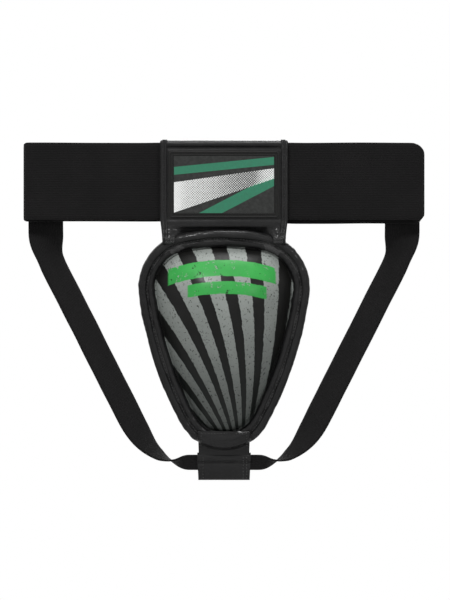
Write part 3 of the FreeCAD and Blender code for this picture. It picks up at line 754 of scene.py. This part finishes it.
rings = []
for point, inward in rim_spots:
    ring = []
    shoulder = math.exp(-((point.z + 45) / 32) ** 2) * ease(abs(point.x), 15, 50)
    tight = 0.45 + 0.55 * max(shoulder, 0.5 * ease(-point.z, 170, 205))
    around = math.atan2(point.x, point.z + 105) * 60
    neck = math.exp(-((abs(point.x) - 50) / 12) ** 2) * ease(point.z, -60, -30)
    for depth, y, out, number in rim_section():
        gather = ripple(around / 3.6, depth / 15, 2.0) * 0.85 * tight
        slack = ripple(around / 16, depth / 9, y / 12) * 0.75
        swell = gather + slack
        if number == 0:
            swell += 0.5 * math.cos((depth - 4.6) / 5.0)
        if number == 1:
            swell -= 0.5
        pinch = math.exp(-((depth - rim["width"] / 2) / 0.9) ** 2) if y < -6 else 0
        swell -= 1.7 * pinch
        if number > 1:
            swell *= 0.4
        spot = point + inward * (depth + out[0] * swell)
        spot.y = y + out[1] * swell + 1.2 * neck * ease(-y, 1, 7)
        pressed = max(spot.y, tab_line(foot_height(spot.x, spot.z)) + 0.5)
        if spot.z < foot_z + 22 and y < 0:
            spot.y += (pressed - spot.y) * (1 - ease(abs(spot.x), 24.6, 30))
        ring.append(in_cup(*spot))
    rings.append(ring)
rim_cover = loft("rim_leather", rings, leather, looped=True)
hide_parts("rim_cover")
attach(rim_cover, "cup")

seam = [in_cup(*(point + inward * (rim["width"] / 2) + Vector((0, -rim["front"] + 2.1, 0))))
        for point, inward in rim_spots]
rim_seam = sew("rim_seam", [seam + seam[:1]], 3.2, 2.5, 0.8, seed=7)
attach(rim_seam, "cup")

# ---- Shell ----
# A dome pressed from steel sheet, lacquered over a print of weathered rays that fan
# upwards, crossed by two arched bands. Its flange sits in the rim.
lacquer = Finish("printed_lacquer", {"Specular IOR Level": 0.10, "Coat Weight": 0.05,
                                     "Coat Roughness": 0.2})
sx, sz = lacquer.place("X") * 1000, lacquer.place("Z") * 1000
rough_edge = lacquer.noise(160.0, 5.0, 0.7) - 0.5
root_x, root_z = 16.0, -282.0
dx, dz = sx - root_x, sz - root_z
far = (dx * dx + dz * dz) ** 0.5
angle = lacquer.node("ShaderNodeMath", {"operation": "ARCTAN2"}, {0: dx, 1: dz})
swirl = angle * 42 + far * 0.040 + rough_edge * 0.9
rays = swirl.wave()
bright = rays.above(-0.16, -0.08)
chips = lacquer.noise(420.0, 5.0, 0.75).above(0.590, 0.610)
moved = lacquer.node("ShaderNodeMapping", None,
                     {"Vector": lacquer.place(), "Location": (3.1, 0.4, 1.7)})
flakes = lacquer.noise(210.0, 6.0, 0.8, at=moved).above(0.595, 0.610)
pale = lacquer.mix(lacquer.noise(34.0, 3.0), (0.215, 0.235, 0.222), (0.330, 0.355, 0.335))
dark = lacquer.mix(lacquer.noise(50.0, 3.0), (0.004, 0.004, 0.004), (0.014, 0.014, 0.013))
printed = lacquer.mix(bright * (1 - chips), dark, pale)
bend = sz + sx * sx * 0.0032 + rough_edge * 2.0
first_band = (bend + 84.5).above(-8.2, -7.4) * (1 - (bend + 84.5).above(7.4, 8.2))
second_band = (bend + 103.5).above(-6.4, -5.6) * (1 - (bend + 103.5).above(5.6, 6.4))
inside = 1 - abs(sx + 2).above(51, 53)
short = 1 - abs(sx - 3).above(37, 39)
bands = (first_band * inside + second_band * short) * (1 - flakes)
leaf_green = lacquer.mix(lacquer.noise(60.0, 2.0), (0.024, 0.270, 0.050), (0.058, 0.390, 0.085))
printed = lacquer.mix(bands, printed, leaf_green)
# Painted shade: the print is mixed towards near-black from z -96 down to -262 mm, so the dome's lower
# part, which faces down and away from the lamps, reads darker.
printed = lacquer.mix((sz * -1.0).above(96, 262) * 0.78, printed, (0.006, 0.008, 0.007))
lacquer.give("Base Color", printed)
lacquer.give("Roughness", lacquer.noise(55.0, 4.0) * 0.18 + 0.30)
lacquer.give("Normal", lacquer.bump(
    bright * 0.3 + bands * 0.5 + chips * -0.2, 0.00006,
    lacquer.bump(lacquer.noise(22.0, 2.0), 0.0006)))
seat, depth_of_dome, crown_z, flank = 3.8, 42.2, -81.0, 1.54
dome_spots = round_outline(2.6)


def dome_rings(cut, depth, steps=34):
    """Rings of a dome inside the outline, from just short of its crown to its foot."""
    rings = []
    for i in range(steps + 1):
        angle = math.pi / 2 * (1 - 0.004 - 0.996 * i / steps)
        shrink, lift = math.cos(angle), depth * math.sin(angle) ** flank
        ring = []
        for point, inward in dome_spots:
            edge = point + inward * cut
            ring.append(in_cup(edge.x * shrink, -seat - lift,
                               crown_z + (edge.z - crown_z) * shrink))
        rings.append(ring)
    return rings


def flat_ring(cut, y):
    return [in_cup(*(point + inward * cut + Vector((0, y, 0))))
            for point, inward in dome_spots]


steel, dome_inset, flange_inset = 1.2, rim["width"] + 0.4, 12.6
flange = [flat_ring(dome_inset - 0.6, -seat - steel), flat_ring(flange_inset, -seat - steel),
          flat_ring(flange_inset, -seat), flat_ring(dome_inset + 0.6, -seat)]
outside = dome_rings(dome_inset, depth_of_dome)[:-1]
within = dome_rings(dome_inset + steel, depth_of_dome - steel)
shell = loft("steel_shell", outside + flange + list(reversed(within)), lacquer)
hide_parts("cup_shell")
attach(shell, "cup")

# ---- Foam ----
# Open-celled foam pads the yoke and the rim. Leather hides it, so the plain solids do
# for its shape and only take on this finish.
foam = Finish("open_foam", {"Specular IOR Level": 0.1})
holes = foam.cells(1400.0)
foam.give("Base Color", foam.mix(holes.above(0.1, 0.6), (0.02, 0.02, 0.02), (0.07, 0.07, 0.07)))
foam.give("Roughness", holes * 0.1 + 0.85)
foam.give("Normal", foam.bump(holes, 0.0005))
for node in ("yoke_foam", "rim_core"):
    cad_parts[node].data.materials.clear()
    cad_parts[node].data.materials.append(foam.material)

# ---- Lining and facing ----
# Knitted lining is glued inside the dome, and a soft facing ring is sewn to the rim's
# back with two rows of thread. The photograph shows neither.
knit = Finish("knitted_lining", {"Specular IOR Level": 0.15, "Sheen Weight": 0.15})
wale = (knit.place("X") * 2900).wave() * (knit.place("Z") * 2400).wave()
fuzz = knit.noise(220.0, 4.0)
knit.give("Base Color", knit.mix(
    (wale * 0.3 + fuzz).above(0.2, 0.9), (0.012, 0.012, 0.013), (0.030, 0.030, 0.032)))
knit.give("Roughness", fuzz * 0.15 + 0.78)
knit.give("Normal", knit.bump(wale * 0.6 + fuzz * 0.5, 0.0004))

lining_thick, lining_inset, lip_inset = 2.0, dome_inset + steel, rim["width"] + 0.1
padded_side = dome_rings(lining_inset + lining_thick, depth_of_dome - steel - lining_thick)[:-1]
for number, ring in enumerate(padded_side):
    for spot, point in enumerate(ring):
        point.y -= 0.5 * ripple(point.x / 14, point.z / 14, 6.0) * ease(number, 0, 6)
lip = [flat_ring(cut, -seat + lift) for cut, lift in (
    (lining_inset + lining_thick, 0.2), (lining_inset + 0.6, 0.9), (lip_inset, 0.7),
    (lip_inset, 0.1), (lining_inset + 0.1, 0.05))]
glued_side = dome_rings(lining_inset + 0.05, depth_of_dome - steel - 0.05)[:-1]
lining = loft("dome_lining", padded_side + lip + list(reversed(glued_side)), knit)
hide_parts("shell_liner")
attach(lining, "cup")

facing_front, facing_thick = rim["back"], 1.6
facing_section = ((4.0, 0.2), (4.0, 0.9), (4.6, 1.5), (7, 1.75), (10, 1.9), (13, 2.0), (16, 1.9),
                  (19, 1.75), (21.2, 1.4), (21.9, 0.8), (21.9, 0.1), (19, 0), (13, 0), (7, 0))
rings = []
for point, inward in rim_spots:
    ring = []
    around = math.atan2(point.x, point.z + 105) * 60
    for depth, rise in facing_section:
        lift = 0.25 * ripple(around / 9, depth / 7, 8) if rise > 1 else 0
        rearward = Vector((0, facing_front + rise * facing_thick / 2 + lift, 0))
        ring.append(in_cup(*(point + inward * depth + rearward)))
    rings.append(ring)
facing = loft("facing_ring", rings, knit, looped=True)
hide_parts("back_lining")
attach(facing, "cup")
rows = []
for depth in (6.6, 19.6):
    row = [in_cup(*(point + inward * depth + Vector((0, facing_front + 1.72, 0))))
           for point, inward in rim_spots]
    rows.append(row + row[:1])
facing_seam = sew("facing_seam", rows, 3.4, 2.6, 0.7, seed=9)
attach(facing_seam, "cup")

# ---- Tab and keeper ----
# A leather tongue sewn over the foot of the rim and folded into a tunnel that holds
# the leg straps. Both are one strip, so the leather runs on through the fold.
keeper_drop = 223.9


def leather_sheet(name, front, back):
    """A leaf of leather between two grids of points of the same size."""
    return loft(name, [near + list(reversed(rear)) for near, rear in zip(front, back)],
                leather)


half_tab = 25.0
front, back = [], []
for i in range(33):
    down = i / 32
    row_front, row_back = [], []
    for j in range(31):
        aside = 2 * j / 30 - 1
        x = aside * (half_tab + 0.6 - 0.8 * down)
        top = foot_z + 19.2 - 0.6 * aside + 1.0 * ease(aside, 0.15, 0.9)
        low = -keeper_drop - 3.0
        z = top + (low - top) * down
        y = tab_line(foot_height(x, z))
        y += 0.45 * ripple(x / 7, z / 5, 5) - 0.5 * math.exp(-((down - 0.06) / 0.06) ** 2)
        slit = 1.1 * (aside > 0.20) - 1.1 * ease(aside, 0.20, 0.50)
        y -= slit * (1 - ease(down, 0.3, 0.5))
        row_front.append(in_cup(x, y - 1.5, z))
        row_back.append(in_cup(x, y + 0.2, z))
    front.append(row_front)
    back.append(row_back)
tab_front = leather_sheet("tab_tongue", front, back)
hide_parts("tab_front")
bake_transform(tab_front)

front, back = [], []
for i in range(19):
    down = i / 18
    row_front, row_back = [], []
    for j in range(25):
        x = (2 * j / 24 - 1) * half_tab
        z = foot_z + 12 - 18.0 * down
        seated = ease(foot_height(x, z), -3.4, 3.0)
        y = rim["back"] * seated + (1 - seated) * 0.4
        y += 0.25 * ripple(x / 8, z / 5, 9)
        row_front.append(in_cup(x, y, z))
        row_back.append(in_cup(x, y + 1.5, z))
    front.append(row_front)
    back.append(row_back)
tab_back = leather_sheet("tab_rear_leaf", front, back)
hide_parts("tab_back")
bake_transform(tab_back)

tab_rows = []
for x in (-22.4, 22.4):
    tab_rows.append([in_cup(x, tab_line(foot_height(x, foot_z + z)) - 1.9, foot_z + z)
                     for z in [18.0 - 0.6 * k for k in range(24)]])
tab_rows.append([in_cup(x, tab_line(foot_height(x, foot_z + 17.2)) - 1.9, foot_z + 17.2)
                 for x in range(-21, 22)])
tab_seam = sew("tab_seam", tab_rows, 2.9, 2.1, 0.7, seed=15)
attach(tab_seam, "cup")

tunnel_wall, tunnel_hole, tunnel_neck, tunnel_length = 1.4, 3.2, 4.2, 28.3


def tunnel_front(share):
    """Front of the tunnel from its foot up: a dent over the strap, then a rolled ridge."""
    dent = 1.5 * math.exp(-((share - 0.70) / 0.07) ** 2)
    roll = 1.6 * ease(share, 0.74, 0.9) + 0.5 * math.sin(math.pi * min(1, share / 0.64))
    return -tunnel_hole / 2 - tunnel_wall + dent - roll


rings = []
for i in range(41):
    aside = 2 * i / 40 - 1
    sag = 0.9 * (1 - aside * aside)
    ring = []
    outer = tunnel_hole / 2 + tunnel_wall
    low, high = -tunnel_length, -tunnel_neck
    section = []
    for k in range(13):
        angle = math.pi * k / 12
        section.append((-outer * math.cos(angle) - 0.9 * (angle < 0.6),
                        high + outer * math.sin(angle) * 1.15 - sag))
    for k in range(8):
        section.append((outer, high - (high - low - outer) * (k + 1) / 9))
    for k in range(13):
        angle = math.pi * k / 12
        section.append((outer * math.cos(angle), low + outer - outer * math.sin(angle)))
    for k in range(12):
        share = (k + 1) / 13
        section.append((tunnel_front(share), low + outer + (high - low - outer) * share))
    for y, z in section:
        x = aside * (26.3 - 1.0 * ease(-z, 4, 28))
        y += 0.30 * ripple(x / 8, z / 6, 3)
        ring.append(in_cup(x, y, z - keeper_drop))
    rings.append(ring)
tunnel = loft("keeper_tunnel", rings, leather)
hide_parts("keeper")
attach(tunnel, "keeper")

rows = []
for x in (22.3, 18.9, -20.6):
    rows.append([in_cup(x, tunnel_front(k / 24) - 0.3,
                        -keeper_drop - tunnel_length + 3 + (tunnel_length - tunnel_neck - 3) * k / 24)
                 for k in range(24)])
keeper_seam = sew("keeper_seam", rows, 2.9, 2.1, 0.75, seed=11)
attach(keeper_seam, "keeper")

# ---- Leg straps ----
# Each is one length of 34 mm elastic, sewn behind the waistband. It hangs flat, turns
# on its way down, twists edge-on beside the keeper and runs into it folded double.
strap_width, strap_thick, cross_width, cross_thick = 34.0, 1.5, 15.0, 3.0
strap_x, strap_y, strap_cut_z = 174.3, 7.75, -165
cross_mid = in_cup(0, 0, -keeper_drop - 10.6)


def strap_run(step=2.5):
    """Middle line of the right-hand strap, in even steps from the sewn end down."""
    foot = Vector((56.0, cross_mid.y, cross_mid.z))
    corner, top = foot + Vector((14, 0, 0)), Vector((strap_x, strap_y, fold.z))
    drop = 24.5
    share = drop / (top.z - foot.z)
    knee = Vector((top.x, top.y + (foot.y - top.y) * share, top.z - drop))
    line = [Vector((strap_x, strap_y, 2.0)), top]
    for point, before, after, lead, trail in ((knee, top, corner, 19.6, 19.6),
                                              (corner, knee, foot, 48, 30)):
        entry = point + (before - point).normalized() * lead
        leave = point + (after - point).normalized() * trail
        for i in range(17):
            t = i / 16
            line.append(entry * (1 - t) ** 2 + point * 2 * t * (1 - t) + leave * t * t)
    line.append(Vector((0, cross_mid.y, cross_mid.z)))
    even, left = [line[0]], step
    for start, end in zip(line, line[1:]):
        length, done = (end - start).length, 0
        while length - done >= left:
            done += left
            even.append(start + (end - start) * (done / length))
            left = step
        left -= length - done
    if (even[-1] - line[-1]).length > 0.4 * step:
        even.append(line[-1])
    else:
        even[-1] = line[-1]
    return even


def strap_stations(side):
    run = strap_run()
    stations = []
    for i, middle in enumerate(run):
        ahead = run[min(i + 1, len(run) - 1)] - run[max(i - 1, 0)]
        ahead.normalize()
        x, z = middle.x, middle.z
        turned = ease(-z, -fold.z, -fold.z + 34) * 46
        turned += 20 * ease(-x, -96, -58) + 24 * ease(-x, -64, -50) + 90 * ease(-x, -56, -29)
        gather = ease(-x, -86, -48)
        wide = strap_width + (cross_width - strap_width) * gather
        thick = 1 + (cross_thick / strap_thick - 1) * ease(-x, -62, -34)
        flat = Vector((0, 1, 0)).cross(ahead).normalized()
        face = ahead.cross(flat).normalized()
        turn = Matrix.Rotation(math.radians(turned), 3, ahead)
        flat, face = turn @ flat, turn @ face
        sway = 0.5 * ripple(z / 26, 3, side) * ease(-z, 50, 80) * ease(x, 60, 90)
        middle = middle + face * sway
        flip = Vector((side, 1, 1))
        stations.append((middle * flip, flat * flip * (wide / 2), face * flip, thick))
    return stations


for name, side in (("left", -1), ("right", 1)):
    stations = strap_stations(side)
    cut = [i for i, station in enumerate(stations) if station[0].z < strap_cut_z][0]
    upper = woven_strip("leg_strap_%s_upper" % name, stations[:cut + 1], strap_thick, elastic, 12)
    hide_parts("leg_strap_" + name, "strap_end_" + name)
    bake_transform(upper)
    length = sum((after[0] - before[0]).length
                 for before, after in zip(stations[:cut], stations[1:cut + 1]))
    lower = woven_strip("leg_strap_%s_lower" % name, stations[cut:], strap_thick, elastic, 12,
                        length)
    if side < 0:
        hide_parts("crosspiece")
    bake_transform(lower)
    left, right = side * (strap_x - 14), side * (strap_x + 14)
    top, low = -0.5, -33.0
    box = [(left, top), (right, top), (right, low), (left, low), (left, top), (right, low)]
    rows = []
    for (x0, z0), (x1, z1) in list(zip(box, box[1:])) + [((right, top), (left, low))]:
        rows.append([Vector((x0 + (x1 - x0) * k / 12, strap_y + 0.85, z0 + (z1 - z0) * k / 12))
                     for k in range(13)])
    tack = sew("strap_box_seam_" + name, rows, 3.0, 2.3, 0.7, seed=20 + side)
    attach(tack, "belt")

# ---- Bar tacks ----
# A short dense zigzag of thread at each lower corner of the neck. It holds the leather
# down on the rim's shoulder, and folds spread from it.
half_tack = 4.2
for name, side in (("left", -1), ("right", 1)):
    rows = []
    for k in range(15):
        x = side * (tack_x - half_tack + 2 * half_tack * k / 14)
        z = tack_z - 0.4 * (k % 2)
        y = front_y - 6.6 - 0.25 * (k % 2)
        rows.append([Vector((x, y + 0.25, z - 1.5)), Vector((x + 0.3, y, z)),
                     Vector((x, y + 0.1, z + 1.5))])
    tack = sew("tack_threads_" + name, rows, 3.0, 3.2, 0.62, seed=30 + side)
    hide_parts("bar_tack_" + name)
    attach(tack, "cup")
